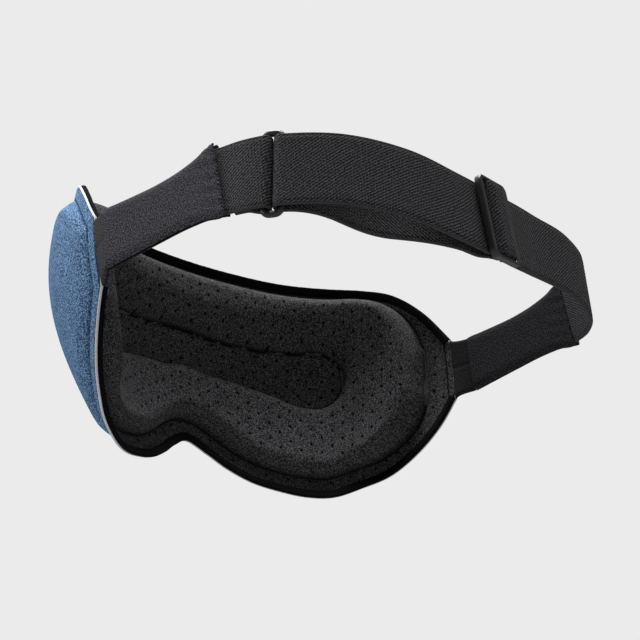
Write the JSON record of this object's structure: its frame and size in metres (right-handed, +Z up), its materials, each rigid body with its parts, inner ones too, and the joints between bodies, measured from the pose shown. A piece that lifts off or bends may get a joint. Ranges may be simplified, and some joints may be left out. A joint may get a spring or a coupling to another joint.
{
  "type": "sleep eye mask",
  "caption": "Contoured sleep eye mask with a domed fabric front, a padded perforated lining, fabric side wings and an elastic head strap with a ring and an adjusting slider.",
  "frame": {"origin": "on the plane of symmetry, at the nose bridge, in the middle surface of the mask's rim; this is where the mask sits on the face (mount head_seat)", "axes": "+Z up, the front of the mask faces -Y, the strap runs back to +Y, +X is the wearer's left"},
  "size_m": [0.1756, 0.1852, 0.0971],
  "materials": {
    "blue_fabric": "heathered denim-blue knit, matt",
    "grey_piping": "light grey edge piping, satin",
    "black_binding": "black edge binding, smooth",
    "perforated_lining": "charcoal brushed knit with small punched holes",
    "foam": "open cell foam",
    "moulded_shell": "moulded plastic, matt",
    "wing_fabric": "heathered charcoal knit",
    "webbing": "charcoal elastic webbing with a diagonal rib",
    "black_plastic": "black moulded plastic, satin",
    "button_plastic": "dark blue-grey plastic, satin",
    "circuit_board": "green solder mask",
    "steel": "plain steel",
    "battery_foil": "foil pouch",
    "lead_sheath": "thin insulated lead",
    "light_lens": "clear light guide"
  },
  "bodies": {
    "mask": {"front_cover": "blue_fabric", "front_shell": "moulded_shell", "back_tray": "moulded_shell", "contour_pad": "foam", "lining": "perforated_lining", "upper_binding": "black_binding", "lower_binding": "black_binding", "edge_piping": "grey_piping", "control_board": "circuit_board", "button_switch": "black_plastic", "button_bezel": "black_plastic", "indicator_light": "light_lens", "charge_socket": "steel", "socket_trim": "black_plastic", "battery_cell": "battery_foil", "battery_lead": "lead_sheath", "left_motor": "steel", "right_motor": "steel", "left_motor_lead": "lead_sheath", "right_motor_lead": "lead_sheath"},
    "button": {"button_cap": "button_plastic"},
    "strap_base": {"left_hinge_panel": "wing_fabric", "right_hinge_panel": "wing_fabric"},
    "left_wing": {"left_wing_outer_face": "wing_fabric", "left_wing_inner_face": "wing_fabric", "left_wing_foam": "foam"},
    "right_wing": {"right_wing_outer_face": "wing_fabric", "right_wing_inner_face": "wing_fabric", "right_wing_foam": "foam"},
    "strap_ends": {"left_elastic": "webbing"},
    "strap_rear": {"doubled_webbing": "webbing", "right_run": "webbing"},
    "ring": {"strap_ring": "black_plastic"},
    "slider": {"strap_slider": "black_plastic", "slider_weave": "webbing", "sewn_loop": "webbing"}
  },
  "joints": [
    {"name": "button_press", "type": "slide", "parent": "mask", "child": "button", "axis": [0, 1, 0], "range_m": [0, 0.0006], "stiffness_N_per_m": 1500},
    {"name": "strap_tilt", "type": "hinge", "parent": "mask", "child": "strap_base", "pos_m": [0, 0.0702, 0], "axis": [1, 0, 0], "range_deg": [-15, 15], "deforming": ["left_hinge_panel", "right_hinge_panel"]},
    {"name": "left_wing_swing", "type": "hinge", "parent": "strap_base", "child": "left_wing", "pos_m": [0.084, 0.0738, 0], "axis": [0, 0, 1], "range_deg": [-12, 12]},
    {"name": "right_wing_swing", "type": "hinge", "parent": "strap_base", "child": "right_wing", "pos_m": [-0.084, 0.0738, 0], "axis": [0, 0, 1], "range_deg": [-12, 12]},
    {"name": "strap_end_swing", "type": "hinge", "parent": "left_wing", "child": "strap_ends", "pos_m": [0.084, 0.126, 0], "axis": [0, 0, 1], "range_deg": [-12, 12]},
    {"name": "strap_stretch", "type": "slide", "parent": "strap_ends", "child": "strap_rear", "axis": [0, 1, 0], "range_m": [0, 0.015], "stiffness_N_per_m": 120, "deforming": ["left_elastic", "right_run"]},
    {"name": "ring_swivel", "type": "hinge", "parent": "strap_rear", "child": "ring", "pos_m": [0.07333, 0.1412, -0.00541], "axis": [-0.054, 0.082, 0.9952], "range_deg": [-8, 8], "deforming": ["doubled_webbing"]},
    {"name": "slider_slide", "type": "slide", "parent": "strap_rear", "child": "slider", "axis": [0.9639, 0.229, -0.136], "range_m": [-0.008, 0.008]}
  ],
  "couplings": [
    {"joint": "right_wing_swing", "follows": "left_wing_swing", "ratio": 1},
    {"joint": "strap_end_swing", "follows": "left_wing_swing", "ratio": -1}
  ]
}
